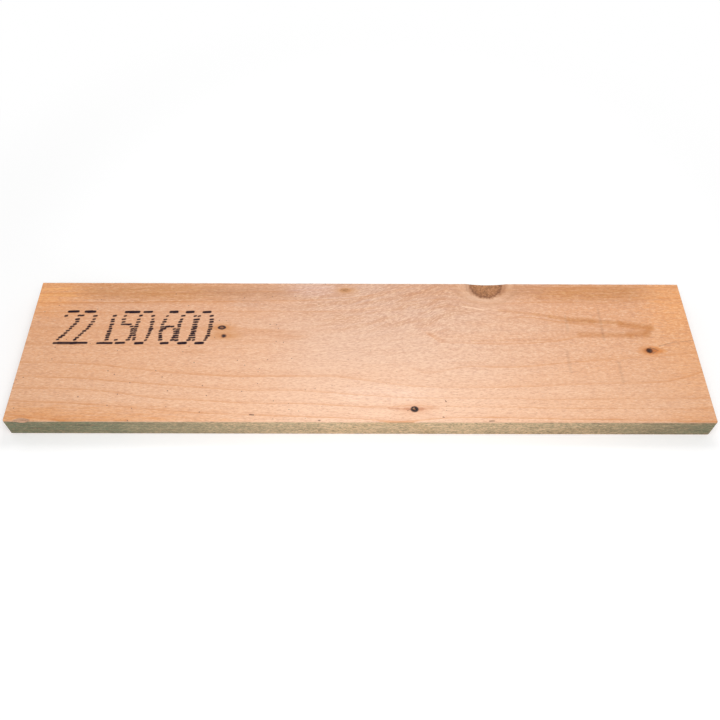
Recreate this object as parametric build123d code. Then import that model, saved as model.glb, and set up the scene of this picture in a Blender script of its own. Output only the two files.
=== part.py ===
from build123d import *
import math
import os

# A short softwood board, planed on four sides and crosscut square. Sizes are millimetres.
# Origin: the middle of the lower face. +X runs along the grain, +Y to the far edge, +Z up.
length = 600.0
width = 150.0
thickness = 22.0

# The planer leaves the four long arrises very slightly eased, and the saw leaves the ends crisper.
long_arris_radius = 0.5
end_arris_chamfer = 0.2

# Splinter torn out of the near upper arris, close to the left end.
splinter_from_left_end = 15.5
splinter_length = 16.0
splinter_across_face = 2.6
splinter_down_edge = 3.4

# The knot on the far edge has broken away along the upper arris.
knot_chip_from_right_end = 181.0
knot_chip_length = 44.0
knot_chip_across_face = 2.0
knot_chip_down_edge = 2.4

# How far a scoop's cutter runs past the material on each side.
cutter_margin = 4.0


def board():
    """The squared stock with its arrises eased."""
    stock = Box(length, width, thickness, align=(Align.CENTER, Align.CENTER, Align.MIN))
    eased = fillet(stock.edges().filter_by(Axis.X), long_arris_radius)
    ends = eased.faces().filter_by(Axis.X)
    return chamfer(ends.edges(), end_arris_chamfer)


def arris_scoop(middle_x, side, scoop_length, across_face, down_edge):
    """A round-bottomed cutter that breaks one upper long arris.

    side is +1 on the far edge and -1 on the near one. At its middle the scoop reaches across_face
    into the upper face and down_edge into the long edge, and it runs out at both ends.
    """
    span = math.hypot(across_face, down_edge)
    depth = across_face * down_edge / span
    radius = ((scoop_length / 2) ** 2 + depth**2) / (2 * depth)
    outward = Vector(0, side * down_edge, across_face) / span
    across = Vector(0, side * across_face, -down_edge) / span
    arris = Vector(middle_x, side * width / 2, thickness)
    facet_middle = arris - Vector(0, side * across_face / 2, down_edge / 2)
    seat = Plane(origin=facet_middle + outward * radius, x_dir=(1, 0, 0), z_dir=across)
    return seat * Cylinder(radius, span + 2 * cutter_margin)


def plank():
    """The board with its two broken places cut into it."""
    splinter = arris_scoop(
        splinter_from_left_end - length / 2,
        -1,
        splinter_length,
        splinter_across_face,
        splinter_down_edge,
    )
    knot_chip = arris_scoop(
        length / 2 - knot_chip_from_right_end,
        1,
        knot_chip_length,
        knot_chip_across_face,
        knot_chip_down_edge,
    )
    return board() - splinter - knot_chip


os.makedirs("parts", exist_ok=True)
export_step(plank(), "parts/plank.step")
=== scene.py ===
import math
import random

import bpy
import numpy as np
from mathutils import Matrix, Vector


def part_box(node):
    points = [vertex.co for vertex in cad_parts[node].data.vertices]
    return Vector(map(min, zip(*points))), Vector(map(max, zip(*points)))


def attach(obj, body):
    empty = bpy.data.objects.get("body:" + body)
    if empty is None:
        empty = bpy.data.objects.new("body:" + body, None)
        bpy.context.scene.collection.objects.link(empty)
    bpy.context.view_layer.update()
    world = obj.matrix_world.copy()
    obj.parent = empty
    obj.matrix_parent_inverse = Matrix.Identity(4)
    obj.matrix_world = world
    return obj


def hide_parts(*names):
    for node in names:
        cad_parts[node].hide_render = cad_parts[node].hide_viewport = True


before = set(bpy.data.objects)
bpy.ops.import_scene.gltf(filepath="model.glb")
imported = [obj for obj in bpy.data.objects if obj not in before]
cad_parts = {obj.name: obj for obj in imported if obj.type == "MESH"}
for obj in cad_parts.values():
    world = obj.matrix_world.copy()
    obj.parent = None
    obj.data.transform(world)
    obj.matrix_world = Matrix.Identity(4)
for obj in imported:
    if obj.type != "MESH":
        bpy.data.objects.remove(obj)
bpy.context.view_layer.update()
boardLow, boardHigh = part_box("plank")
mm = 0.001
hair = 0.01  # mm, less than which two places count as one
origin = (0.0, 0.0, 0.0)
halfLength = boardHigh.x / mm
halfWidth = boardHigh.y / mm
upperFace = boardHigh.z / mm


# Camera, as the photograph was taken: above the near long edge, looking down across the board
cameraPlace = {
    "position": (-4.12, -398.70, 590.02),  # mm from the middle of the lower face
    "lookUpFromNadir": 34.196,
    "turnLeft": -0.503,
    "roll": 0.563,
    "lens": 38.877,
    "sensor": 36.0,
}


def makeCamera():
    lens = bpy.data.cameras.new("camera")
    lens.lens = cameraPlace["lens"]
    lens.sensor_width = cameraPlace["sensor"]
    lens.sensor_fit = "HORIZONTAL"
    camera = bpy.data.objects.new("camera", lens)
    bpy.context.scene.collection.objects.link(camera)
    turn = (
        Matrix.Rotation(math.radians(cameraPlace["turnLeft"]), 4, "Z")
        @ Matrix.Rotation(math.radians(cameraPlace["lookUpFromNadir"]), 4, "X")
        @ Matrix.Rotation(math.radians(cameraPlace["roll"]), 4, "Z")
    )
    camera.matrix_world = Matrix.Translation(Vector(cameraPlace["position"]) * mm) @ turn
    bpy.context.scene.camera = camera


# Node helpers
def colour(red, green, blue):
    # a screen colour, 0 to 255, as the linear colour that a socket takes
    def linear(level):
        share = level / 255
        return share / 12.92 if share <= 0.04045 else ((share + 0.055) / 1.055) ** 2.4

    return (linear(red), linear(green), linear(blue), 1.0)


def isSocket(value):
    return isinstance(value, bpy.types.NodeSocket)


def feed(socket, value):
    if isSocket(value):
        socket.id_data.links.new(value, socket)
    else:
        socket.default_value = value


def node(kind, wires, tree=None, **settings):
    # made in the tree of whatever feeds it
    tree = tree or next(value.id_data for value in wires.values() if isSocket(value))
    made = tree.nodes.new("ShaderNode" + kind)
    for name, value in settings.items():
        setattr(made, name, value)
    for socket, value in wires.items():
        feed(made.inputs[socket], value)
    return made


def maths(operation, a, b=0.0, c=0.0):
    return node("Math", {0: a, 1: b, 2: c}, operation=operation).outputs[0]


def times(a, b):
    return maths("MULTIPLY", a, b)


def plus(a, b):
    return maths("ADD", a, b)


def minus(a, b):
    return maths("SUBTRACT", a, b)


def over(a, b):
    return maths("DIVIDE", a, b)


def vectors(operation, a, b=origin):
    made = node("VectorMath", {0: a, 1: b}, operation=operation)
    single = operation in ("LENGTH", "DOT_PRODUCT")
    return made.outputs["Value" if single else "Vector"]


def scaled(vector, factor):
    made = node("VectorMath", {"Vector": vector, "Scale": factor}, operation="SCALE")
    return made.outputs["Vector"]


def fade(value, low, high, start=0.0, end=1.0, curve="SMOOTHSTEP"):
    wires = {0: value, 1: low, 2: high, 3: start, 4: end}
    return node("MapRange", wires, interpolation_type=curve).outputs[0]


def mixNumbers(share, a, b):
    return node("Mix", {0: share, 2: a, 3: b}, data_type="FLOAT").outputs[0]


def mixColours(share, a, b, way="MIX"):
    wires = {0: share, 6: a, 7: b}
    return node("Mix", wires, data_type="RGBA", blend_type=way).outputs[2]


def painted(paint, coats):
    # coats are (how much it covers, colour), one over the other
    for cover, tone in coats:
        paint = mixColours(cover, paint, tone)
    return paint


def noise(point, stretch, detail=2.0, rough=0.5, twist=0.0):
    # stretch is the size of one blotch in mm along X, Y and Z
    small = vectors("MULTIPLY", point, tuple(1 / size for size in stretch))
    wires = {"Vector": small, "Scale": 1.0, "Detail": detail, "Roughness": rough, "Distortion": twist}
    return node("TexNoise", wires).outputs["Fac"]


def centred(value, reach):
    # a noise value as an offset of up to reach mm either way
    return fade(value, 0, 1, -reach, reach, "LINEAR")


def split(vector):
    return node("SeparateXYZ", {0: vector}).outputs


def join(x, y, z):
    return node("CombineXYZ", {0: x, 1: y, 2: z}).outputs[0]


def ramp(value, stops):
    # stops are (position, colour, how much it covers)
    made = node("ValToRGB", {0: value})
    line = made.color_ramp
    while len(line.elements) < len(stops):
        line.elements.new(0.5)
    for element, (position, paint, cover) in zip(line.elements, stops):
        element.position = position
        element.color = paint[:3] + (cover,)
    return made.outputs["Color"], made.outputs["Alpha"]


def newGroup(name, inputs):
    # inputs have a starting value, which makes them a vector or a number
    group = bpy.data.node_groups.new(name, "ShaderNodeTree")
    for label, start in inputs.items():
        kind = "Vector" if isinstance(start, tuple) else "Float"
        socket = group.interface.new_socket(name=label, in_out="INPUT", socket_type="NodeSocket" + kind)
        socket.default_value = start
    return group, group.nodes.new("NodeGroupInput").outputs


def closed(group, results):
    # each result leaves the group as what it is
    kinds = {"VALUE": "Float", "VECTOR": "Vector", "RGBA": "Color"}
    for label, value in results.items():
        kind = "NodeSocket" + kinds[value.type]
        group.interface.new_socket(name=label, in_out="OUTPUT", socket_type=kind)
    leave = group.nodes.new("NodeGroupOutput")
    for label, value in results.items():
        feed(leave.inputs[label], value)
    return group


def place(group, wires):
    return node("Group", wires, node_tree=group).outputs


# Growth rings. The pith runs under the lower face, so on the upper face each ring shows as one line
# on the near side of the middle line and one on the far side, innermost first. Each point is (X, Y,
# strength of the line there), X and Y in mm. Where a near line lies beyond the middle line, the ring
# is closed there and doesn't reach the face.
ringPlan = {
    "middle": [(-300, 13), (-150, 13), (-60, 14), (-20, 16), (20, 21.5), (60, 26), (100, 28),
               (130, 25.5), (180, 22.5), (240, 21.2), (300, 22)],
    "near": [
        [(-300, 36, 0), (-100, 36, 0), (0, 40, 0), (35, 34, 0), (50, 26, 0), (57, 20, 0.1),
         (65, 14, 0.4), (75, 8, 0.55), (100, 8, 0.45), (140, 8.5, 0.5), (180, 11, 0.55),
         (200, 14, 0.4), (240, 14, 0.3), (262, 18, 0.3), (268, 22, 0.2), (280, 30, 0), (300, 38, 0)],
        [(-300, 2, 0.3), (-170, 2, 0.25), (-120, 3, 0.25), (-60, 8, 0.1), (-30, 14, 0), (-18, 19, 0),
         (-8, 22, 0), (0, 21, 0), (5, 14, 0), (15, 0, 0), (30, -13, 0.05), (50, -23, 0.18),
         (58, -25, 0.22), (75, -22, 0.25), (100, -17.5, 0.35), (130, -18, 0.45), (150, -17, 0.45),
         (180, -14, 0.5), (215, -11, 0.6), (243, -8.5, 0.55), (300, -4, 0.3)],
        [(-300, -16.5, 0.45), (-240, -18, 0.5), (-200, -22.5, 0.5), (-160, -27, 0.5),
         (-100, -30, 0.5), (-30, -30, 0.4), (0, -33, 0.35), (40, -38, 0.3), (80, -40, 0.35),
         (150, -38.5, 0.42), (200, -36, 0.4), (260, -34.5, 0.42), (285, -29, 0.5), (300, -24, 0.5)],
        [(-300, -30, 0.5), (-240, -33.5, 0.6), (-200, -37, 0.6), (-140, -41.5, 0.5),
         (-100, -43.5, 0.5), (-60, -44, 0.45), (0, -48.5, 0.4), (60, -51, 0.3), (120, -50.5, 0.32),
         (160, -52, 0.32), (220, -51.5, 0.34), (300, -51, 0.42)],
        [(-300, -43, 0.5), (-260, -43.5, 0.55), (-220, -46, 0.5), (-170, -53, 0.5),
         (-140, -54.5, 0.5), (-100, -57, 0.5), (-40, -57.5, 0.5), (0, -59.5, 0.55), (60, -59, 0.4),
         (120, -59.5, 0.45), (150, -60, 0.5), (220, -61.3, 0.5), (300, -61.7, 0.42)],
        [(-300, -55.5, 0.6), (-250, -58, 0.65), (-200, -61.5, 0.6), (-160, -65.5, 0.6),
         (-80, -69, 0.55), (0, -71.5, 0.6), (30, -73, 0.7), (75, -70, 0.75), (150, -70.5, 0.8),
         (280, -73.5, 0.6), (300, -74, 0.6)],
        [(-300, -69, 0.55), (-280, -72, 0.6), (-200, -78, 0.6), (0, -84, 0.6), (300, -86, 0.6)],
    ],
    "far": [
        [(-300, -10, 0), (-100, -10, 0), (0, 0, 0), (35, 14, 0), (50, 30, 0), (60, 45, 0),
         (80, 49, 0), (115, 48, 0.15), (130, 42, 0.3), (150, 41, 0.45), (180, 34, 0.6),
         (200, 31, 0.55), (220, 29, 0.5), (245, 27, 0.3), (265, 24, 0.3), (268, 22, 0.2), (280, 14, 0),
         (300, 6, 0)],
        [(-300, 24, 0.3), (-150, 24, 0.3), (-80, 22, 0.2), (-40, 18, 0), (-25, 14, 0), (-10, 12, 0),
         (0, 17, 0), (5, 32, 0), (20, 48, 0.1), (45, 55, 0.15), (75, 60, 0.2), (110, 64, 0.3),
         (140, 60, 0.5), (180, 56, 0.55), (220, 54, 0.45), (260, 58, 0.5), (300, 60, 0.5)],
        [(-300, 40, 0.6), (-200, 41, 0.5), (-100, 42, 0.4), (-50, 43, 0.3), (0, 46, 0.3),
         (40, 56, 0.2), (70, 66, 0.2), (100, 76, 0.2), (140, 74, 0.3), (200, 71, 0.5), (300, 72, 0.5)],
        [(-300, 51, 1), (-200, 52, 0.9), (-100, 54, 0.7), (-40, 56, 0.5), (0, 60, 0.4),
         (40, 70, 0.25), (70, 78, 0.3), (140, 84, 0.3), (300, 82, 0.5)],
        [(-300, 62, 0.7), (-200, 62.5, 0.6), (-100, 65, 0.5), (-40, 68, 0.3), (0, 73, 0.3),
         (40, 80, 0.3), (140, 90, 0.3), (300, 92, 0.5)],
        [(-300, 72, 0.5), (0, 82, 0.5), (300, 98, 0.5)],
        [(-300, 84, 0.5), (0, 92, 0.5), (300, 106, 0.5)],
    ],
    "pithBelowUpperFace": 30.0,
    "innerSpacing": 560.0,  # mm squared of ring area between the rings nearer to the pith
    "outerSpacing": 330.0,
    "hiddenStrength": 0.6,  # of the lines that only the ends and the lower face show
    "lateFrom": {"inner": 0.885, "drawn": 0.81, "outer": 0.8},  # share of a ring that is pale
    "latePeak": (0.96, 0.97),  # where in a ring it is darkest
    "lateLead": 0.3,  # how much earlier the wood begins to darken slowly, and up to what strength
    "wander": {"size": (70, 24, 24), "reach": 1.5},
    "feather": {"size": (7, 1.3, 1.3), "reach": 0.8},
    "reach": (-90.0, 110.0),  # Y between which all the lines lie
}


def handCurve(x, points, low, high):
    # a value as a function of X in mm, through given points
    along = fade(x, -halfLength, halfLength, curve="LINEAR")
    made = node("FloatCurve", {"Value": along})
    line = made.mapping.curves[0]
    placed = [((px + halfLength) / (2 * halfLength), (py - low) / (high - low)) for px, py in points]
    line.points[0].location = placed[0]
    line.points[1].location = placed[-1]
    for spot in placed[1:-1]:
        line.points.new(*spot)
    for spot in line.points:
        spot.handle_type = "AUTO_CLAMPED"
    made.mapping.update()
    return fade(made.outputs[0], 0.0, 1.0, low, high, curve="LINEAR")


def lateBand(share, begin, strength):
    # latewood darkens slowly towards the end of a ring and stops short at the next spring
    peak, last = ringPlan["latePeak"]
    lead = ringPlan["lateLead"]
    band = maths("MAXIMUM", fade(share, begin, peak), fade(share, begin - lead, peak, 0, lead))
    return times(times(band, fade(share, last, 1.0, 1.0, 0.0)), strength)


def makeRingGroup():
    group, given = newGroup("growthRings", {"Point": origin})
    wander, feather = ringPlan["wander"], ringPlan["feather"]
    wanderNoise = noise(given["Point"], wander["size"])
    featherNoise = noise(given["Point"], feather["size"], 2.0, 0.6)
    x, y, z = split(given["Point"])
    y = plus(y, centred(wanderNoise, wander["reach"]))
    y = plus(y, centred(featherNoise, feather["reach"]))
    middle = handCurve(x, ringPlan["middle"], *ringPlan["reach"])
    offset = minus(y, middle)
    side = fade(offset, -8, 8)
    below = ringPlan["pithBelowUpperFace"]
    height = minus(z, upperFace - below)
    across = times(offset, offset)
    up = times(height, height)
    area = plus(across, minus(up, below * below))
    courses, strengths = [], []
    for pair in zip(ringPlan["near"], ringPlan["far"]):
        reaches, weights = [], []
        for line in pair:
            reaches.append(handCurve(x, [(px, py) for px, py, _ in line], *ringPlan["reach"]))
            weights.append(handCurve(x, [(px, strength) for px, _, strength in line], 0.0, 1.0))
        reach = mixNumbers(side, minus(middle, reaches[0]), minus(reaches[1], middle))
        courses.append(times(reach, maths("ABSOLUTE", reach)))
        strengths.append(mixNumbers(side, *weights))
    inner = minus(area, courses[0])
    inner = maths("MINIMUM", over(inner, ringPlan["innerSpacing"]), 0.0)
    hidden, lateFrom = ringPlan["hiddenStrength"], ringPlan["lateFrom"]
    strength = mixNumbers(fade(inner, -0.5, -0.4), hidden, strengths[0])
    late = lateBand(maths("FRACT", inner), lateFrom["inner"], strength)
    for low, high, strength in zip(courses, courses[1:], strengths[1:]):
        room = maths("MAXIMUM", minus(high, low), 40.0)
        share = over(minus(area, low), room)
        late = plus(late, lateBand(share, lateFrom["drawn"], strength))
    outer = minus(area, courses[-1])
    outer = maths("MAXIMUM", over(outer, ringPlan["outerSpacing"]), 0.0)
    late = plus(late, lateBand(maths("FRACT", outer), lateFrom["outer"], hidden))
    return closed(group, {"Late": late})


# The fibres rise to the right in the upper middle of the board, towards the large knot, and curl there
grainPlan = {
    "rise": [(-300, 0), (-80, 0), (-30, 5), (20, 17), (60, 30), (95, 38), (130, 36), (200, 28),
             (300, 24)],
    "fromY": -32.0,
    "fullY": 70.0,
    "curl": 1.5,
    "curlSize": (15.0, 26.0, 40.0),
    "curlMiddle": (20.0, 56.0),
    "curlReach": (125.0, 46.0),
}


def makeCurlGroup():
    group, given = newGroup("grainCurl", {"Point": origin})
    x, y, z = split(given["Point"])
    rise = handCurve(x, grainPlan["rise"], 0.0, 60.0)
    rise = times(rise, fade(y, grainPlan["fromY"], grainPlan["fullY"]))
    (middleX, middleY), (reachX, reachY) = grainPlan["curlMiddle"], grainPlan["curlReach"]
    across = over(minus(x, middleX), reachX)
    away = join(across, over(minus(y, middleY), reachY), 0.0)
    there = fade(vectors("LENGTH", away), 0.4, 1.0, 1.0, 0.15)
    curl = centred(noise(given["Point"], grainPlan["curlSize"], 1.0), grainPlan["curl"])
    lift = minus(times(curl, there), rise)
    moved = vectors("ADD", given["Point"], join(0.0, lift, 0.0))
    return closed(group, {"Point": moved, "There": there})


def makeKnotGroup():
    # a knot narrows and leans as it goes down, and the grain parts round it
    group, given = newGroup("knotFlow", {
        "Point": origin, "Wobble": 0.0, "Centre": origin, "Lean": origin, "Radius": 4.0, "Taper": 0.1,
        "Stretch": 1.0, "Flow Stretch": 2.5, "Halo Stretch": 2.0,
    })
    away = vectors("SUBTRACT", given["Point"], given["Centre"])
    depth = split(away)[2]
    away = vectors("SUBTRACT", away, scaled(given["Lean"], depth))
    x, y, z = split(away)
    radius = maths("MAXIMUM", maths("MULTIPLY_ADD", depth, given["Taper"], given["Radius"]), 0.05)

    def reach(stretch):
        flat = join(over(x, stretch), y, 0.0)
        return over(vectors("LENGTH", flat), radius)

    near = maths("MAXIMUM", reach(given["Flow Stretch"]), 1.0)
    push = over(y, times(near, near))
    return closed(group, {
        "Push": join(0.0, push, 0.0),
        "Core": plus(reach(given["Stretch"]), given["Wobble"]),
        "Halo": plus(reach(given["Halo Stretch"]), given["Wobble"]),
    })


def makePatchGroup():
    # a soft stain of elliptical outline, reaching a few mm into the wood
    group, given = newGroup("softPatch", {
        "Point": origin, "Ragged": 0.0, "Centre": origin, "Reach": (10, 5, 6), "Strength": 1.0, "Soft": 0.7,
    })
    away = vectors("SUBTRACT", given["Point"], given["Centre"])
    away = vectors("LENGTH", vectors("DIVIDE", away, given["Reach"]))
    away = plus(away, given["Ragged"])
    inner = minus(1.0, given["Soft"])
    mask = fade(away, inner, 1.0, 1.0, 0.0)
    return closed(group, {"Mask": times(mask, given["Strength"])})


def makeStrokeGroup():
    # a thin mark from one point to another
    group, given = newGroup("thinStroke", {
        "Point": origin, "Wobble": 0.0, "From": origin, "To": (1, 0, 0), "Width": 0.5, "Strength": 1.0,
    })
    run = vectors("SUBTRACT", given["To"], given["From"])
    away = vectors("SUBTRACT", given["Point"], given["From"])
    along = vectors("DOT_PRODUCT", away, run)
    share = fade(over(along, vectors("DOT_PRODUCT", run, run)), 0, 1, curve="LINEAR")
    off = vectors("LENGTH", vectors("SUBTRACT", away, scaled(run, share)))
    off = plus(off, given["Wobble"])
    mask = fade(off, times(given["Width"], 0.1), given["Width"], 1.0, 0.0)
    return closed(group, {"Mask": times(mask, given["Strength"])})


# Knots: where each comes out (mm), how far it leans for each mm of height, how much longer than wide
# its core, the grain that parts round it and its halo are, and its colours from the middle outwards,
# each a (share of the radius, screen colour, cover)
knots = {
    "edgeKnot": {
        "centre": (118.0, 73.4), "lean": (0.1, 0.9, 0), "radius": 15.6, "taper": 0.25,
        "stretch": (0.96, 1.5, 1.25), "rings": 5.5, "mottled": 1.0,
        "core": [(0.0, (190, 132, 84), 1), (0.45, (178, 122, 76), 1),
                 (0.75, (170, 114, 68), 1), (0.88, (154, 100, 60), 1),
                 (0.96, (136, 88, 54), 1), (1.03, (168, 116, 78), 0.65),
                 (1.12, (204, 152, 110), 0)],
        "halo": [(0.98, (178, 128, 92), 0.5), (1.12, (234, 190, 154), 0.42),
                 (1.35, (230, 182, 144), 0.3), (1.5, (198, 148, 110), 0.42),
                 (1.75, (226, 176, 138), 0)],
    },
    "blackKnot": {
        "centre": (45.5, -63), "lean": (0.1, -0.4, 0), "radius": 2.55, "taper": 0.07,
        "stretch": (1.2, 2.6, 2.6),
        "core": [(0.0, (176, 116, 68), 1), (0.22, (140, 84, 48), 1),
                 (0.42, (34, 18, 18), 1), (0.95, (24, 12, 12), 1),
                 (1.1, (92, 50, 34), 0.8), (1.35, (160, 100, 66), 0)],
        "halo": [(0.8, (190, 120, 74), 0.6), (1.4, (214, 146, 100), 0.3),
                 (2.4, (222, 158, 112), 0.15), (3.6, (226, 166, 122), 0)],
    },
    "resinKnot": {
        "centre": (257.6, -1.8), "lean": (-0.1, -0.3, 0), "radius": 2.7, "taper": 0.06,
        "stretch": (1.05, 2.2, 1.9),
        "core": [(0.0, (34, 20, 24), 1), (0.35, (50, 26, 20), 1),
                 (0.65, (84, 44, 26), 1), (0.9, (120, 68, 38), 1),
                 (1.3, (170, 104, 58), 0)],
        "halo": [(0.8, (190, 116, 60), 0.9), (1.3, (214, 140, 78), 0.7),
                 (1.9, (222, 150, 92), 0.45), (2.5, (224, 156, 102), 0)],
    },
    "pinKnotFar": {
        "centre": (-15, 66.5), "lean": (0.5, 0.2, 0), "radius": 2.1, "taper": 0.06,
        "stretch": (2.2, 3.0, 2.6), "mottled": 0.4,
        "core": [(0.0, (158, 106, 62), 1), (0.5, (184, 128, 78), 0.9),
                 (1.1, (200, 142, 92), 0.7), (1.5, (208, 152, 104), 0)],
        "halo": [(0.8, (204, 146, 98), 0.7), (1.6, (208, 152, 106), 0.5),
                 (2.8, (212, 160, 118), 0)],
    },
    "pinKnotLeft": {
        "centre": (-126, 22.5), "lean": (0.4, 0.1, 0), "radius": 2.2, "taper": 0.05,
        "stretch": (1.6, 2.6, 2.6),
        "core": [(0.0, (150, 98, 64), 1), (0.4, (130, 80, 54), 1),
                 (0.62, (36, 22, 28), 1), (0.95, (44, 26, 30), 1),
                 (1.2, (150, 98, 66), 0)],
        "halo": [(0.9, (206, 136, 76), 0.7), (1.9, (212, 148, 92), 0.35),
                 (3.4, (216, 158, 108), 0)],
    },
    "pinKnotLow": {
        "centre": (-123.5, 13.2), "lean": (0.3, 0, 0), "radius": 1.8, "taper": 0.04,
        "stretch": (1.15, 2.6, 3.4),
        "core": [(0.0, (32, 20, 28), 1), (0.6, (48, 28, 30), 1),
                 (1.1, (140, 88, 62), 0.7), (1.5, (180, 120, 80), 0)],
        "halo": [(0.9, (202, 134, 74), 0.7), (2.2, (210, 148, 92), 0.35),
                 (4.0, (216, 160, 114), 0)],
    },
}
knotReach = {"halo": 5.0, "core": 2.0}  # shares of the radius that a knot's colours span

# The wood is more orange towards its ends. Its pale pinkish middle is a painted sheen, painted brighter on
# the near side than on the far side
woodTones = {
    "sheenMiddleNear": colour(240, 197, 166),
    "sheenMiddleFar": colour(214, 173, 148),
    "endNear": colour(233, 179, 139),
    "endFar": colour(232, 165, 116),
    "nearY": -60.0,
    "farY": 62.0,
    "litMiddleToEnds": [(-300, 1), (-200, 0.78), (-100, 0.5), (-40, 0.12), (20, 0), (80, 0.12),
                    (140, 0.48), (200, 0.75), (300, 1)],
    "late": colour(208, 138, 82),
    "streak": colour(206, 146, 108),
    "pale": colour(250, 214, 182),
    "dull": colour(186, 136, 114),
    "figure": colour(200, 142, 100),
    "burnt": colour(92, 58, 40),
}

# The texture of the planed wood. Each field of blotches has its size along X, Y and Z (mm), detail,
# roughness and twist, and its coats: from which to which value it covers how much, with which tone.
woodTexture = {
    "wide": ((44, 2.2, 2.2), 2.0, 0.55, 0.0, [(0.48, 0.75, 0.0, 0.22, "streak")]),
    "curly": ((34, 4.4, 4.4), 2.0, 0.55, 0.0, [(0.42, 0.62, 0.0, 0.5, "figure")]),
    "fine": ((9, 0.55, 0.55), 3.0, 0.6, 0.0, [(0.48, 0.75, 0.0, 0.3, "streak")]),
    "short": ((3.2, 0.8, 0.8), 2.0, 0.65, 0.5,
              [(0.52, 0.68, 0.0, 0.34, "pale"), (0.32, 0.47, 0.28, 0.0, "dull")]),
    "speckle": ((3.2, 0.75, 0.75), 1.0, 0.6, 0.4,
                [(0.52, 0.68, 0.0, 0.6, "pale"), (0.32, 0.47, 0.6, 0.0, "dull")]),
}
knotMottle = {"size": (1.9, 1.9, 1.9), "mostly": 0.12}  # most knots are hardly mottled with pale wood


def makeTimberGroup(groups):
    group, given = newGroup("timber", {"Point": origin})
    point = given["Point"]
    wobble = centred(noise(point, (2.6, 2.6, 2.6)), 0.16)
    moved = point
    flows = []
    for knot in knots.values():
        facts = {part.capitalize(): knot[part] for part in ("lean", "radius", "taper")}
        facts.update(zip(("Stretch", "Flow Stretch", "Halo Stretch"), knot["stretch"]))
        facts.update({"Point": point, "Wobble": wobble, "Centre": knot["centre"] + (upperFace,)})
        flow = place(groups["knotFlow"], facts)
        moved = vectors("SUBTRACT", moved, flow["Push"])
        flows.append(flow)
    late = place(groups["growthRings"], {"Point": moved})["Late"]
    curl = place(groups["grainCurl"], {"Point": moved})

    # the colour of the wood apart from its texture, from near to far and from the middle to the ends, with
    # the painted sheen of the middle
    broad = centred(noise(moved, (120, 14, 14)), 0.35)
    x, y, z = split(point)
    offLitMiddle = plus(handCurve(x, woodTones["litMiddleToEnds"], 0.0, 1.0), broad)
    toFar = fade(y, woodTones["nearY"], woodTones["farY"], curve="LINEAR")
    nearTone = mixColours(offLitMiddle, woodTones["sheenMiddleNear"], woodTones["endNear"])
    farTone = mixColours(offLitMiddle, woodTones["sheenMiddleFar"], woodTones["endFar"])
    wood = plain = mixColours(toFar, nearTone, farTone)

    places = {"curly": curl["There"], "speckle": fade(curl["There"], 0.15, 1.0, 0.55, 0.8)}
    fields = {}
    for name, (size, detail, rough, twist, coats) in woodTexture.items():
        fields[name] = noise(curl["Point"], size, detail, rough, twist)
        for low, high, start, end, tone in coats:
            cover = fade(fields[name], low, high, start, end)
            if name in places:
                cover = times(places[name], cover)
            wood = mixColours(cover, wood, woodTones[tone])
    fine = fields["fine"]
    # latewood comes and goes a little along the board
    late = times(late, fade(noise(moved, (50, 8, 8), 1.0), 0.3, 0.6, 0.65, 1.0))
    late = times(late, fade(fine, 0.2, 0.55, 0.7, 1.0))
    wood = mixColours(late, wood, woodTones["late"])
    height = maths("MULTIPLY_ADD", late, 0.25, times(fine, 0.6))
    height = maths("MULTIPLY_ADD", fields["short"], 0.5, height)

    mottle = noise(point, knotMottle["size"], 2.0, 0.65, 0.5)
    mask = 0.0
    for knot, flow in zip(knots.values(), flows):
        for part, span in knotReach.items():
            stops = [(share / span, colour(*paint), cover) for share, paint, cover in knot[part]]
            paint, cover = ramp(over(flow[part.capitalize()], span), stops)
            if part == "halo":
                cover = times(cover, fade(fine, 0.3, 0.6, 0.75, 1.0))
            wood = mixColours(cover, wood, paint)
        inside = fade(flow["Core"], 0.85, 1.05, 1.0, 0.0)
        if "rings" in knot:
            turns = maths("SINE", times(flow["Core"], knot["rings"] * math.tau))
            turns = times(fade(turns, 0.0, 1.0, 0.0, 0.3), inside)
            wood = mixColours(turns, wood, colour(*knot["core"][-3][1]))
        mottled = 0.5 * knot.get("mottled", knotMottle["mostly"])
        wood = painted(wood, [
            (times(inside, fade(mottle, 0.5, 0.66, 0.0, mottled)), woodTones["streak"]),
            (times(inside, fade(mottle, 0.34, 0.5, 0.6, 0.0)), woodTones["burnt"]),
        ])
        mask = maths("MAXIMUM", mask, inside)
    return closed(group, {
        "Color": wood, "Plain": plain, "Height": height, "Late": late, "Knot": mask, "Fine": fine,
    })


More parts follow.
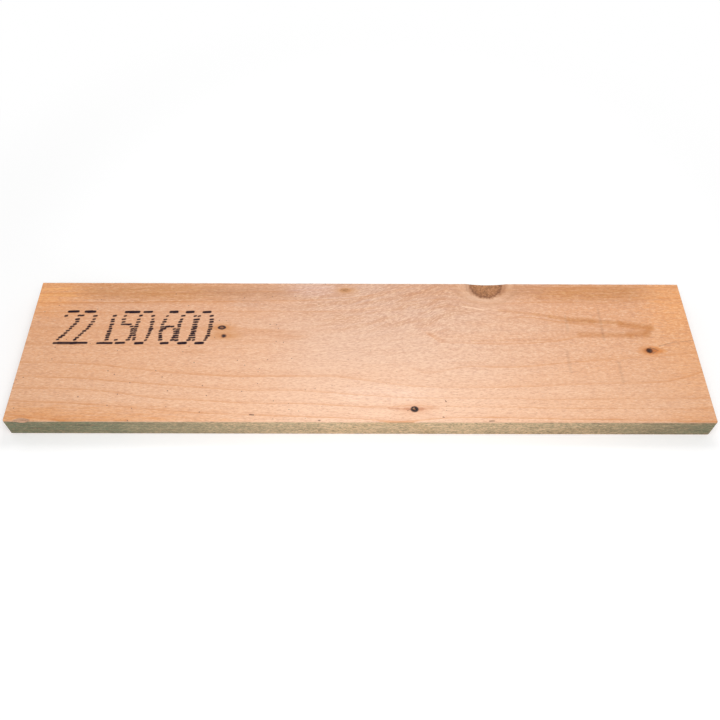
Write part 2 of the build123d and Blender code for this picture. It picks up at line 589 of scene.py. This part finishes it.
# Marks on the upper face, in mm. A stain is (middle, reach along X, Y and Z, strength, screen colour),
# a stroke (start, end, half width, strength, screen colour), and a later one lies over the others. One pale
# stain is a painted highlight.
faceStainsAndSheen = [
    ((-180, 64), (170, 16, 6), 0.75, (204, 140, 86)),
    ((-305, 60), (70, 34, 6), 0.6, (250, 172, 104)),
    ((214, 64.5), (118, 15, 6), 0.85, (206, 138, 82)),
    ((-96, 64), (84, 12, 6), 0.45, (194, 146, 118)),
    ((66, 67), (70, 15, 6), 0.5, (206, 150, 112)),
    ((310, 52), (60, 60, 6), 0.7, (252, 174, 108)),
    ((-310, -75), (250, 24, 6), 0.75, (226, 156, 98)),
    ((-85, 17), (44, 5, 4), 0.25, (208, 146, 102)),
    ((-148, -4), (18, 5, 4), 0.35, (206, 142, 96)),
    ((-62, 12), (22, 4, 4), 0.3, (208, 146, 102)),
    ((-119, 15), (20, 6, 4), 0.25, (210, 150, 102)),
    ((264, -2), (11, 6, 4), 0.8, (216, 142, 80)),
    ((150, 27), (70, 11, 4), 0.3, (230, 182, 148)),
    ((305, 5), (70, 90, 6), 0.5, (240, 170, 112)),
    ((312, -72), (80, 18, 6), 0.5, (226, 158, 104)),
    ((136, 67), (56, 12, 6), 0.45, (190, 138, 106)),
    # a painted highlight: the pale pinkish patch in the near middle stands for the lamps' sheen there
    ((20, -48), (60, 12, 6), 0.5, (246, 210, 186)),
    ((-42, 67), (36, 11, 6), 0.5, (220, 184, 172)),
    ((-102, 51), (34, 9, 6), 0.4, (204, 160, 134)),
    ((82, 50), (32, 8, 6), 0.35, (208, 156, 124)),
]
faceStrokes = {
    "leftStreaks": [
        ((-300, 67), (-272, 68), 1.3, 0.5, (255, 192, 120)),
        ((-300, 60), (-266, 59.5), 1.1, 0.45, (255, 192, 120)),
        ((-299, 54), (-282, 54.5), 1.2, 0.4, (255, 190, 122)),
    ],
    "brownLoop": [
        ((128, 43), (164, 38.4), 2.2, 0.45, (208, 144, 94)),
        ((160, 38.6), (174, 36.4), 2.9, 0.45, (206, 140, 88)),
        ((174, 36), (190, 33), 3.7, 0.6, (204, 136, 80)),
        ((192, 32), (212, 31), 5.0, 0.75, (200, 132, 76)),
        ((212, 30.5), (238, 29), 3.6, 0.65, (204, 136, 80)),
        ((238, 27.5), (264, 23.5), 5.4, 0.75, (206, 134, 76)),
        ((264, 23.5), (258, 16), 5.0, 0.5, (208, 138, 80)),
        ((198, 16), (244, 15), 4.4, 0.55, (206, 138, 84)),
        ((244, 15.5), (259, 16), 6.4, 0.6, (206, 136, 80)),
        ((100, 8.5), (172, 10), 1.8, 0.35, (212, 150, 104)),
    ],
    "resinKnotCracks": [
        ((259, 1.6), (265.5, -1.4), 0.9, 0.6, (120, 92, 78)),
        ((265.5, -1.4), (260, -5), 0.9, 0.5, (120, 92, 78)),
    ],
    "blackKnotStreak": [
        ((0, -61.2), (24, -62), 1.3, 0.3, (204, 138, 96)),
        ((24, -62.2), (45, -63), 1.7, 0.5, (200, 132, 90)),
        ((45, -63), (66, -62), 1.5, 0.4, (204, 138, 96)),
    ],
    "blackKnotFigureAndGlint": [
        ((46.6, -64), (47.8, -62.8), 1.1, 0.9, (28, 16, 16)),
        # a painted highlight: the pale spot on the left of the knot's core
        ((44.5, -62.5), (45.1, -62.1), 0.9, 0.8, (226, 180, 136)),
        ((39.5, -64.4), (42.8, -62.6), 0.6, 0.5, (120, 72, 48)),
    ],
    "loopLeftEnd": [
        ((61, 16.5), (74, 9), 3.0, 0.3, (208, 146, 104)),
    ],
    "resinSmear": [
        ((264, -2.2), (272, -2.6), 2.8, 0.5, (224, 142, 72)),
    ],
    "paleStreaks": [
        ((94, 47.4), (114, 43.6), 1.0, 0.8, (252, 212, 178)),
        ((118, 45.5), (126, 43), 0.7, 0.5, (250, 208, 172)),
    ],
    "uprightMarks": [
        ((188, 37), (188, 20), 2.2, 0.13, (120, 96, 84)),
        ((219.5, 45), (219.5, 10), 2.2, 0.16, (120, 96, 84)),
        ((184, -3), (184, -25), 2.4, 0.14, (120, 96, 84)),
        ((228, -15), (228, -35), 2.4, 0.13, (120, 96, 84)),
    ],
    "endCrack": [
        ((268, 3.5), (280, 7), 0.8, 0.5, (160, 112, 84)),
        ((280, 7), (299.5, 9.6), 0.8, 0.36, (160, 112, 84)),
    ],
    "edgeSpecks": [
        ((-93.6, -68.7), (-90.6, -68.9), 0.9, 0.9, (90, 56, 46)),
        ((-35.6, -74.3), (-34.4, -74.3), 0.8, 0.8, (84, 54, 46)),
        ((108, -74.3), (112, -74.3), 0.8, 0.7, (96, 62, 50)),
    ],
    "specksInRow": [
        ((72.2, -54.4), (72.7, -55.6), 0.7, 0.9, (110, 64, 52)),
        ((72.5, -60), (72.7, -60.2), 0.6, 0.9, (100, 62, 54)),
        ((72.4, -64), (72.6, -64), 0.6, 0.8, (100, 62, 54)),
        ((69.3, -70.6), (70, -70.8), 0.8, 0.8, (110, 64, 52)),
    ],
}
# tiny resin specks: one place in each cell of so many mm, of which only some hold a speck
specks = {
    "cell": (7.0, 6.0, 7.0),
    "radius": 0.052,
    "share": 0.55,
    "fewerFrom": (-120, 40),  # from the first X to the second most of them go
    "cover": 0.85,
    "paint": colour(104, 78, 78),
}
planedFinish = {
    "ink": colour(22, 13, 32),
    "rough": {"wood": 0.48, "late": 0.42, "ink": 0.6},
    "gloss": {"wood": 0.35, "ink": 0.05},
    "relief": 0.07,
    "softEdge": 0.75,  # of a stain, as a share of its reach
    "softStroke": 1.4,  # strokes wider than this lie in the wood and show its texture
}


def makeMaterial(name):
    # gives the material, its shader's sockets and the place on the object in mm
    material = bpy.data.materials.new(name)
    material.use_nodes = True
    spot = node("TexCoord", {}, material.node_tree).outputs["Object"]
    return material, material.node_tree.nodes["Principled BSDF"].inputs, scaled(spot, 1 / mm)


def finishMaterial(wanted, paint, rough, height, depth):
    # depth is how deep the relief is, in mm
    bump = node("Bump", {"Strength": 1.0, "Distance": depth * mm, "Height": height})
    feed(wanted["Base Color"], paint)
    feed(wanted["Roughness"], rough)
    feed(wanted["Normal"], bump.outputs["Normal"])


def makePlanedFace(groups):
    material, wanted, point = makeMaterial("planedFace")
    timber = place(groups["timber"], {"Point": point})
    paint = timber["Color"]
    # stains, and the painted highlight among them, take in streaks, and hardly at all in the knots; the
    # wood's texture shows through them
    texture = mixColours(1.0, paint, timber["Plain"], "DIVIDE")
    ragged = centred(noise(point, (18, 2.2, 2.2), 2.0, 0.6), 0.45)
    streaks = fade(noise(point, (26, 1.7, 1.7), 2.0, 0.6), 0.34, 0.62, 0.55, 1.1)
    held = times(streaks, fade(timber["Knot"], 0, 1, 1.0, 0.2))
    for middle, reach, strength, tone in faceStainsAndSheen:
        mask = place(groups["softPatch"], {
            "Point": point, "Ragged": ragged, "Centre": middle + (upperFace,), "Reach": reach,
            "Strength": strength, "Soft": planedFinish["softEdge"],
        })["Mask"]
        stainAndSheenTone = mixColours(1.0, colour(*tone), texture, "MULTIPLY")
        paint = mixColours(times(mask, held), paint, stainAndSheenTone)
    wobble = centred(noise(point, (3.5, 1.6, 3.5), 1.0), 0.5)
    for start, end, width, strength, tone in sum(faceStrokes.values(), []):
        mask = place(groups["thinStroke"], {
            "Point": point, "Wobble": wobble, "From": start + (upperFace,), "To": end + (upperFace,),
            "Width": width, "Strength": strength,
        })["Mask"]
        drawn = colour(*tone)
        if width > planedFinish["softStroke"]:
            drawn = mixColours(1.0, drawn, texture, "MULTIPLY")
        paint = mixColours(mask, paint, drawn)
    cells = vectors("MULTIPLY", point, tuple(1 / size for size in specks["cell"]))
    dots = node("TexVoronoi", {"Vector": cells, "Scale": 1.0}, feature="F1").outputs
    dot = fade(dots["Distance"], specks["radius"], specks["radius"] * 2, specks["cover"], 0.0)
    share = specks["share"]
    kept = fade(split(dots["Color"])[0], share, share + 0.01, 1.0, 0.0)
    kept = times(kept, fade(split(point)[0], *specks["fewerFrom"], 1.0, 0.25))
    ink = node("Attribute", {}, material.node_tree, attribute_name="ink").outputs["Fac"]
    soak = times(ink, fade(timber["Fine"], 0.25, 0.6, 1.0, 0.985))
    paint = painted(paint, [(times(dot, kept), specks["paint"]), (soak, planedFinish["ink"])])
    rough, gloss = planedFinish["rough"], planedFinish["gloss"]
    bare = fade(timber["Late"], 0, 1, rough["wood"], rough["late"])
    rough = mixNumbers(ink, bare, rough["ink"])
    feed(wanted["Specular IOR Level"], mixNumbers(ink, gloss["wood"], gloss["ink"]))
    finishMaterial(wanted, paint, rough, timber["Height"], planedFinish["relief"])
    return material


# The long edges: khaki in the middle, painted darker and greener towards the ends as shade with the green
# cast of bounced light
edgeTones = {
    "litMiddleToEnds": [(-300, 1), (-240, 0.94), (-180, 0.74), (-110, 0.5), (-50, 0.24), (20, 0.02),
                    (100, 0.12), (160, 0.26), (220, 0.56), (300, 0.95)],
    "khaki": colour(213, 187, 146),
    "khakiDark": colour(168, 147, 108),
    "green": colour(104, 126, 96),
    "greenLeft": colour(90, 126, 98),
    "greenDark": colour(50, 78, 58),
    "lightFleck": colour(228, 190, 150),
    "darkFleck": colour(104, 98, 72),
    "bared": (2.1, 1.3),  # mm below the upper face, where the grey ends
    "rough": 0.7,
    "relief": 0.22,
}


def makeSawnEdge(groups):
    # both long edges, painted greyer and greener than the faces and darkest and greenest towards the ends:
    # painted shade with the green cast of bounced light
    material, wanted, point = makeMaterial("sawnEdge")
    timber = place(groups["timber"], {"Point": point})
    x, y, z = split(point)
    streaks = noise(point, (24, 0.9, 0.9), 3.0, 0.7, 0.3)
    flecks = noise(point, (2.4, 0.65, 0.65), 1.0, 0.6, 0.4)
    drift = centred(noise(point, (50, 30, 9)), 0.25)
    # the share of painted shade, from the lit middle towards the ends
    offLitMiddle = plus(handCurve(x, edgeTones["litMiddleToEnds"], 0.0, 1.0), drift)
    streaky = fade(streaks, 0.36, 0.64)
    green = mixColours(fade(x, -220, 0), edgeTones["greenLeft"], edgeTones["green"])
    green = mixColours(streaky, edgeTones["greenDark"], green)
    grey = mixColours(streaky, edgeTones["khakiDark"], edgeTones["khaki"])
    flecked = fade(offLitMiddle, 0.2, 1.0, 1.0, 0.4)
    grey = painted(grey, [
        (offLitMiddle, green),
        (times(flecked, fade(flecks, 0.52, 0.62, 0.0, 0.75)), edgeTones["lightFleck"]),
        (times(flecked, fade(flecks, 0.36, 0.46, 0.8, 0.0)), edgeTones["darkFleck"]),
    ])
    # the planer has bared a thin line of clean wood below the upper arris
    ragged = centred(noise(point, (12, 3, 3)), 0.6)
    low, high = (upperFace - below for below in edgeTones["bared"])
    bared = fade(plus(z, ragged), low, high, 1.0, 0.0)
    cover = times(fade(timber["Knot"], 0, 1, 0.86, 0.25), bared)
    paint = mixColours(cover, timber["Color"], grey)
    relief = plus(streaks, times(flecks, 0.6))
    finishMaterial(wanted, paint, edgeTones["rough"], relief, edgeTones["relief"])
    return material


# The crosscut ends. The saw's marks are parts of wide arcs; the middle of the blade is in Y and Z.
endCuts = {
    "bladeMiddle": (-40.0, -150.0),
    "pitch": 0.9,
    "dry": colour(190, 140, 96),
    "late": colour(142, 92, 56),
    "pore": colour(138, 96, 64),
    "kerf": colour(222, 182, 142),
    "blotch": colour(158, 118, 86),
    "rough": 0.8,
    "relief": 0.12,
}


def makeEndGrain(groups):
    material, wanted, point = makeMaterial("endGrain")
    timber = place(groups["timber"], {"Point": point})
    x, y, z = split(point)
    bladeY, bladeZ = endCuts["bladeMiddle"]
    away = vectors("LENGTH", join(0.0, minus(y, bladeY), minus(z, bladeZ)))
    arcs = {"W": over(away, endCuts["pitch"]), "Scale": 1.0, "Detail": 2.0}
    kerf = node("TexNoise", arcs, noise_dimensions="1D").outputs["Fac"]
    pores = noise(point, (4.0, 0.4, 0.4), 2.0, 0.6)
    blotch = noise(point, (20, 9, 7))
    paint = painted(timber["Color"], [
        (0.45, endCuts["dry"]),
        (times(timber["Late"], 0.7), endCuts["late"]),
        (fade(pores, 0.5, 0.75, 0.0, 0.4), endCuts["pore"]),
        (fade(kerf, 0.5, 0.8, 0.0, 0.35), endCuts["kerf"]),
        (fade(blotch, 0.5, 0.7, 0.0, 0.3), endCuts["blotch"]),
    ])
    relief = plus(kerf, times(pores, 0.6))
    finishMaterial(wanted, paint, endCuts["rough"], relief, endCuts["relief"])
    return material


# Fresh wood where a splinter has gone: paler, with raised fibres
tornTones = {"dark": colour(172, 128, 102), "light": colour(216, 172, 142), "rough": 0.85, "relief": 0.4}


def makeTornWood(groups):
    material, wanted, point = makeMaterial("tornWood")
    timber = place(groups["timber"], {"Point": point})
    fibres = noise(point, (7, 0.5, 0.5), 3.0, 0.65)
    torn = mixColours(fade(fibres, 0.34, 0.64), tornTones["dark"], tornTones["light"])
    cover = fade(timber["Knot"], 0, 1, 0.85, 0.2)
    paint = mixColours(cover, timber["Color"], torn)
    finishMaterial(wanted, paint, tornTones["rough"], fibres, tornTones["relief"])
    return material


# The board, which stands for the CAD node of the same size and place. Sizes in mm.
boardShape = {
    "arrisRadius": 0.5,
    "endArris": 0.2,
    "wearLine": 1.5,  # how far from a long arris its wear begins
    "stationCuts": (99, 2),  # along the board, then in each part
    "station": 2,  # mm between the stations that these cuts leave
    "wearDepth": 0.32,
    "wearSize": 5.0,
}
faceSlots = {"planed": 0, "sawn": 1, "end": 2, "torn": 3}

# The broken arrises, as the CAD gives them: mm along the board, -1 near or 1 far, and their reach
brokenArrises = {
    "splinter": {"middle": -284.5, "side": -1, "length": 16.0, "acrossFace": 2.6, "downEdge": 3.4},
    "knotChip": {"middle": 119.0, "side": 1, "length": 44.0, "acrossFace": 2.0, "downEdge": 2.4},
}
# The cylinder that cuts them, whose fibres are so many times longer than wide
tornSkin = {"height": 0.5, "size": 6.0, "squeeze": 8.0, "sides": 180, "cuts": 47, "overhang": 8}

# Loose knots that have dried below the face: middle, half sizes, all in mm
knotHollows = {
    "blackHollow": {"middle": (45.5, -63.0), "reach": (2.1, 1.6, 0.7)},
    "resinHollow": {"middle": (257.4, -1.8), "reach": (2.3, 1.9, 0.6)},
    "pinHollow": {"middle": (-126.0, 22.5), "reach": (1.7, 1.2, 0.35)},
}
hollowSkin = {"height": 0.35, "size": 0.9, "segments": 28, "rings": 14}

# The size mark, sprayed in rows of short dashes: plain numbers for thickness, width and length
sizeMark = {
    "numbers": "22 150 600",
    "left": -274.0,
    "pitch": 15.0,
    "gap": 8.5,
    "digitWidth": 13.4,
    "rows": (40.2, 35.6, 31.5, 28.7, 25.8, 23.3, 20.8, 18.3, 15.8, 13.4, 11.0, 8.5, 5.0),
    "slant": 0.1,
    "dash": 4.2,
    "thick": 2.1,
    "barThick": 2.8,
    "tilt": 0.35,
    "jitter": 0.4,
    "rowJitter": 0.25,
    "dashShare": (0.75, 1.1),
    "thickShare": (0.8, 1.1),
    "faint": 0.94,
    "full": 0.985,
    "blur": 0.3,
    "edge": 2.5,
    "grid": 0.5,
    "faintTo": -236.0,  # the spray had just begun, and is weaker up to here
}
digitStrokes = {
    "0": [[(0.32, 1), (0.68, 1), (0.9, 0.9), (1, 0.7), (1, 0.3), (0.9, 0.1), (0.68, 0), (0.32, 0),
           (0.1, 0.1), (0, 0.3), (0, 0.7), (0.1, 0.9), (0.32, 1)]],
    "1": [[(0.15, 0.88), (0.5, 1), (0.5, 0)], [(0.08, 0), (0.92, 0)]],
    "2": [[(0.04, 0.86), (0.25, 1), (0.75, 1), (0.96, 0.86), (0.96, 0.68), (0.72, 0.46), (0.04, 0.04)],
          [(0, 0), (1, 0)]],
    "5": [[(0.9, 1), (0.15, 1), (0.12, 0.6), (0.6, 0.6), (0.88, 0.48), (0.94, 0.28), (0.84, 0.1),
           (0.6, 0), (0.2, 0), (0, 0.12)]],
    "6": [[(0.9, 0.9), (0.68, 1), (0.36, 1), (0.12, 0.86), (0, 0.6), (0, 0.25), (0.12, 0.1), (0.35, 0),
           (0.65, 0), (0.9, 0.1), (1, 0.28), (0.9, 0.44), (0.65, 0.54), (0.35, 0.54), (0.1, 0.44)]],
}


def markDashes():
    # each dash is (start, end, row height, half thickness, how well it took), in mm
    chance = random.Random(22)
    rows = sizeMark["rows"]
    low, high = rows[-1], rows[0]
    dashes = []
    left = sizeMark["left"]
    for sign in sizeMark["numbers"]:
        if sign == " ":
            left += sizeMark["gap"]
            continue
        taken = sizeMark["faint"] if left < sizeMark["faintTo"] else sizeMark["full"]
        for stroke in digitStrokes[sign]:
            placed = [(left + u * sizeMark["digitWidth"], low + v * (high - low)) for u, v in stroke]
            for (startX, startY), (endX, endY) in zip(placed, placed[1:]):
                for index, row in enumerate(rows):
                    # a flat stroke becomes two overlapping bars in the row nearest to it
                    room = (rows[index - 1] - row if index else 2.5) / 2
                    flat = abs(endY - startY) < 1.5
                    if flat and abs((startY + endY) / 2 - row) <= max(room, 1.0):
                        spanX = sorted((startX, endX))
                        cut = chance.uniform(*spanX)
                        spans = ((spanX[0], cut + 1.0), (cut - 1.0, spanX[1]))
                    elif not flat and min(startY, endY) < row < max(startY, endY):
                        crossing = startX + (endX - startX) * (row - startY) / (endY - startY)
                        spans = ((crossing, crossing),)
                    else:
                        continue
                    thick = sizeMark["barThick"] if index in (0, len(rows) - 1) else sizeMark["thick"]
                    for first, last in spans:
                        shift = sizeMark["slant"] * (row - low) + chance.uniform(-1, 1) * sizeMark["jitter"]
                        half = sizeMark["dash"] / 2 * chance.uniform(*sizeMark["dashShare"])
                        dashes.append((
                            first + shift - half + thick / 2, last + shift + half - thick / 2,
                            row + chance.uniform(-sizeMark["rowJitter"], sizeMark["rowJitter"]),
                            thick / 2 * chance.uniform(*sizeMark["thickShare"]), chance.uniform(taken, 1.0),
                        ))
        left += sizeMark["pitch"]
    return dashes


def alone(piece):
    bpy.ops.object.select_all(action="DESELECT")
    piece.select_set(True)
    bpy.context.view_layer.objects.active = piece


def pick(piece, kind, wanted):
    # leaves the piece in edit mode with the edges or faces selected that the test accepts
    alone(piece)
    bpy.ops.object.mode_set(mode="EDIT")
    bpy.ops.mesh.select_mode(type=kind)
    bpy.ops.mesh.select_all(action="DESELECT")
    bpy.ops.object.mode_set(mode="OBJECT")
    mesh = piece.data
    if kind == "EDGE":
        for edge in mesh.edges:
            start, end = (mesh.vertices[index].co / mm for index in edge.vertices)
            edge.select = wanted(start, end)
    else:
        for face in mesh.polygons:
            face.select = wanted(face.center / mm, face.normal)
    bpy.ops.object.mode_set(mode="EDIT")


def done():
    bpy.ops.object.mode_set(mode="OBJECT")


def sliced(piece, axis, height, wanted):
    pick(piece, "FACE", wanted)
    normal = Matrix.Identity(3)[axis]
    bpy.ops.mesh.bisect(plane_co=normal * height * mm, plane_no=normal)
    done()


def subdivided(piece, cuts, wanted):
    pick(piece, "EDGE", wanted)
    bpy.ops.mesh.subdivide(number_cuts=cuts)
    done()


def roughen(piece, name, size, strength, layers=2, **settings):
    # moves the skin in and out by a cloud pattern, whose size and strength are in mm
    pattern = bpy.data.textures.new(name, "CLOUDS")
    pattern.noise_scale = size * mm
    pattern.noise_depth = layers
    alone(piece)
    skin = piece.modifiers.new(name, "DISPLACE")
    skin.texture = pattern
    skin.texture_coords = "LOCAL"
    skin.strength = strength * mm
    for setting, value in settings.items():
        setattr(skin, setting, value)
    bpy.ops.object.modifier_apply(modifier=skin.name)


def runsAlong(start, end):
    return abs(start.x - end.x) > max(abs(start.y - end.y), abs(start.z - end.z)) + 1e-4


def makeStock():
    size = boardHigh - boardLow
    endArris = boardShape["endArris"] * mm
    bpy.ops.mesh.primitive_cube_add(size=1, location=(boardLow + boardHigh) / 2)
    board = bpy.context.active_object
    board.name = "board"
    board.scale = (size.x - 2 * endArris, size.y, size.z)
    bpy.ops.object.transform_apply()
    pick(board, "EDGE", runsAlong)
    bpy.ops.mesh.bevel(offset=boardShape["arrisRadius"] * mm, segments=3, affect="EDGES")
    done()
    # each end is drawn out and drawn in a little, which leaves its crisp arris
    for side in (-1, 1):
        pick(board, "FACE", lambda centre, normal: normal.x * side > 0.9)
        bpy.ops.mesh.extrude_region_move(TRANSFORM_OT_translate={"value": (side * endArris, 0, 0)})
        shrink = (1.0, 1 - 2 * endArris / size.y, 1 - 2 * endArris / size.z)
        middle = (side * size.x / 2, 0, (boardLow.z + boardHigh.z) / 2)
        bpy.ops.transform.resize(value=shrink, center_override=middle)
        done()
    inset = boardShape["wearLine"]
    for axis, height in ((1, halfWidth - inset), (1, inset - halfWidth), (2, inset), (2, upperFace - inset)):
        sliced(board, axis, height, lambda centre, normal: True)
    for cuts in boardShape["stationCuts"]:
        subdivided(board, cuts, lambda start, end: runsAlong(start, end) and abs(start.x - end.x) > 1)
    return board


def dressBoard(board, materials):
    for material in materials:
        board.data.materials.append(material)
    for face in board.data.polygons:
        if abs(face.normal.x) > 0.6:
            face.material_index = faceSlots["end"]
        elif abs(face.normal.y) > 0.99:
            face.material_index = faceSlots["sawn"]


def wearArrises(board):
    # the long arrises are rubbed and slightly fibrous, never proud of the CAD box
    group = board.vertex_groups.new(name="arrises")
    inner = boardShape["arrisRadius"] + 0.01
    for vertex in board.data.vertices:
        spot = vertex.co / mm
        fromEdge = halfWidth - abs(spot.y)
        fromFace = min(spot.z, upperFace - spot.z)
        if fromEdge < inner and fromFace < inner:
            onArris = fromEdge < inner - 0.02 and fromFace < inner - 0.02
            group.add([vertex.index], 1.0 if onArris else 0.45, "REPLACE")
    size, depth = boardShape["wearSize"], boardShape["wearDepth"]
    roughen(board, "arrisWear", size, -depth, mid_level=0.0, vertex_group=group.name)


def cutAway(board, cutter, material):
    cutter.data.materials.append(material)
    alone(board)
    cut = board.modifiers.new("cut", "BOOLEAN")
    cut.operation = "DIFFERENCE"
    cut.solver = "EXACT"
    cut.material_mode = "TRANSFER"
    cut.object = cutter
    bpy.ops.object.modifier_apply(modifier=cut.name)
    bpy.data.objects.remove(cutter, do_unlink=True)


def breakArris(board, name, material):
    # a wide cylinder laid across the arris, its skin ridged along the grain
    facts = brokenArrises[name]
    across, down, side = facts["acrossFace"], facts["downEdge"], facts["side"]
    span = math.hypot(across, down)
    depth = across * down / span
    radius = ((facts["length"] / 2) ** 2 + depth**2) / (2 * depth)
    outward = Vector((0, side * down, across)) / span
    axis = Vector((0, side * across, -down)) / span
    middle = Vector((facts["middle"], side * (halfWidth - across / 2), upperFace - down / 2))
    squeeze = tornSkin["squeeze"]
    length = (span + tornSkin["overhang"]) * squeeze
    bpy.ops.mesh.primitive_cylinder_add(vertices=tornSkin["sides"], radius=radius * mm, depth=length * mm)
    cutter = bpy.context.active_object
    cutter.name = name
    subdivided(cutter, tornSkin["cuts"], lambda start, end: abs(start.z - end.z) > 1)
    roughen(cutter, name + "Fibres", tornSkin["size"], tornSkin["height"], 3)
    cutter.scale = (1, 1, 1 / squeeze)
    cutter.rotation_euler = axis.to_track_quat("Z", "X").to_euler()
    cutter.location = (middle + outward * radius) * mm
    bpy.ops.object.transform_apply()
    cutAway(board, cutter, material)


def hollowKnot(board, name, material):
    facts = knotHollows[name]
    middle = Vector(facts["middle"] + (upperFace,)) * mm
    segments, rings = hollowSkin["segments"], hollowSkin["rings"]
    bpy.ops.mesh.primitive_uv_sphere_add(segments=segments, ring_count=rings, radius=mm, location=middle)
    cutter = bpy.context.active_object
    cutter.name = name
    cutter.scale = facts["reach"]
    bpy.ops.object.transform_apply()
    roughen(cutter, name + "Rough", hollowSkin["size"], hollowSkin["height"])
    cutAway(board, cutter, material)


def gridMark(board):
    # a fine square grid on the upper face where the size mark is, so that its dashes can be a value
    # on the mesh
    dashes = markDashes()
    edge, grid, station = sizeMark["edge"], sizeMark["grid"], boardShape["station"]
    lowX = station * math.floor((min(dash[0] for dash in dashes) - edge) / station)
    highX = station * math.ceil((max(dash[1] for dash in dashes) + edge) / station)
    lowY, highY = sizeMark["rows"][-1] - edge, sizeMark["rows"][0] + edge

    def inside(spot):
        return (
            lowX - hair < spot.x < highX + hair
            and lowY - hair < spot.y < highY + hair
            and spot.z > upperFace - hair
        )

    def markFace(centre, normal):
        return lowX < centre.x < highX and abs(centre.y) < halfWidth - 2 and normal.z > 0.99

    for height in (lowY, highY):
        sliced(board, 1, height, markFace)
    for axis, room in ((1, highY - lowY), (0, station)):
        def crosses(start, end):
            return inside(start) and inside(end) and abs(start[axis] - end[axis]) > 1

        subdivided(board, round(room / grid) - 1, crosses)
    spots = np.empty(len(board.data.vertices) * 3)
    board.data.vertices.foreach_get("co", spots)
    spots = spots.reshape(-1, 3) / mm
    ink = np.zeros(len(spots))
    onFace = spots[:, 2] > upperFace - hair
    blur = sizeMark["blur"]
    for start, end, row, thick, taken in dashes:
        reach = (end - start) / 2 + 0.01
        middle = (start + end) / 2
        near = onFace & (abs(spots[:, 0] - middle) < reach + 3) & (abs(spots[:, 1] - row) < 3)
        x, y = spots[near, 0] - middle, spots[near, 1] - row
        tilt = sizeMark["tilt"] if reach < sizeMark["dash"] else 0.0
        along = np.clip(x, -reach, reach)
        away = np.hypot(x - along, y - tilt * along / reach * 0.5)
        level = np.clip((thick + blur - away) / (2 * blur), 0, 1)
        ink[near] = np.maximum(ink[near], level * level * (3 - 2 * level) * taken)
    layer = board.data.attributes.new("ink", "FLOAT", "POINT")
    layer.data.foreach_set("value", ink.astype(np.float32))


# The floor is white to the camera a little way off; near the board it keeps the shadow. It is 60 m
# wide, the other lengths are in mm.
floorFacts = {
    "size": 60.0,
    "below": 0.3,
    "near": 330,
    "far": 560,
    "glow": 0.28,
    "grey": 0.8,
    "rough": 0.9,
}


def directRays(tree):
    rays = node("LightPath", {}, tree).outputs
    return maths("MAXIMUM", rays["Is Camera Ray"], rays["Is Transmission Ray"])


def makeFloor():
    height = boardLow.z - floorFacts["below"] * mm
    bpy.ops.mesh.primitive_plane_add(size=floorFacts["size"], location=(0, 0, height))
    floor = bpy.context.active_object
    floor.name = "floor"
    material, wanted, point = makeMaterial("paleFloor")
    seen = directRays(material.node_tree)
    away = fade(vectors("LENGTH", point), floorFacts["near"], floorFacts["far"])
    away = times(away, seen)
    grey = floorFacts["grey"]
    feed(wanted["Base Color"], mixColours(away, (grey, grey, grey, 1), (0, 0, 0, 1)))
    feed(wanted["Roughness"], floorFacts["rough"])
    feed(wanted["Specular IOR Level"], 0.0)
    feed(wanted["Emission Color"], (1, 1, 1, 1))
    feed(wanted["Emission Strength"], times(seen, mixNumbers(away, floorFacts["glow"], 1.0)))
    floor.data.materials.append(material)


# Lamps: mm, and the lamp's size in metres. The back one gives the soft sheen in the middle.
skyGlow = 0.55
lamps = {
    "back": {"position": (71, 415, 760), "aim": (30, -20, 22), "width": 0.34, "height": 0.3, "power": 1.9},
    "key": {"position": (20, -300, 620), "aim": (10, -40, 22), "width": 0.4, "height": 0.3, "power": 1.6},
    "front": {"position": (10, -360, 130), "aim": (10, -75, 12), "width": 0.3, "height": 0.15, "power": 0.3},
}


def makeLamp(name):
    facts = lamps[name]
    light = bpy.data.lights.new(name, "AREA")
    light.shape = "RECTANGLE"
    light.size = facts["width"]
    light.size_y = facts["height"]
    light.energy = facts["power"]
    lamp = bpy.data.objects.new(name, light)
    bpy.context.scene.collection.objects.link(lamp)
    start, end = Vector(facts["position"]) * mm, Vector(facts["aim"]) * mm
    turn = (end - start).to_track_quat("-Z", "Y").to_matrix().to_4x4()
    lamp.matrix_world = Matrix.Translation(start) @ turn


def makeSky():
    world = bpy.data.worlds.new("sky")
    world.use_nodes = True
    bpy.context.scene.world = world
    wanted = world.node_tree.nodes["Background"].inputs
    feed(wanted["Color"], (1, 1, 1, 1))
    feed(wanted["Strength"], mixNumbers(directRays(world.node_tree), skyGlow, 1.0))


makeCamera()
makeFloor()
for name in lamps:
    makeLamp(name)
makeSky()
bpy.context.scene.view_settings.view_transform = "Standard"
print("camera, floor and lamps are set")

groups = {
    "growthRings": makeRingGroup(),
    "grainCurl": makeCurlGroup(),
    "knotFlow": makeKnotGroup(),
    "softPatch": makePatchGroup(),
    "thinStroke": makeStrokeGroup(),
}
groups["timber"] = makeTimberGroup(groups)
planed, sawn = makePlanedFace(groups), makeSawnEdge(groups)
endGrain, torn = makeEndGrain(groups), makeTornWood(groups)
print("materials are made")

board = makeStock()
dressBoard(board, (planed, sawn, endGrain, torn))
wearArrises(board)
print("the stock is cut, with worn arrises")
for name in brokenArrises:
    breakArris(board, name, torn)
for name in knotHollows:
    hollowKnot(board, name, planed)
print("broken arrises and hollow knots are cut")
gridMark(board)
alone(board)
bpy.ops.object.shade_smooth_by_angle(angle=math.radians(30))
for face in board.data.polygons:
    face.use_smooth = abs(face.normal.z) < 0.9999
print("the size mark is on, triangles:", sum(len(face.vertices) - 2 for face in board.data.polygons))

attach(board, "root")
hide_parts("plank")
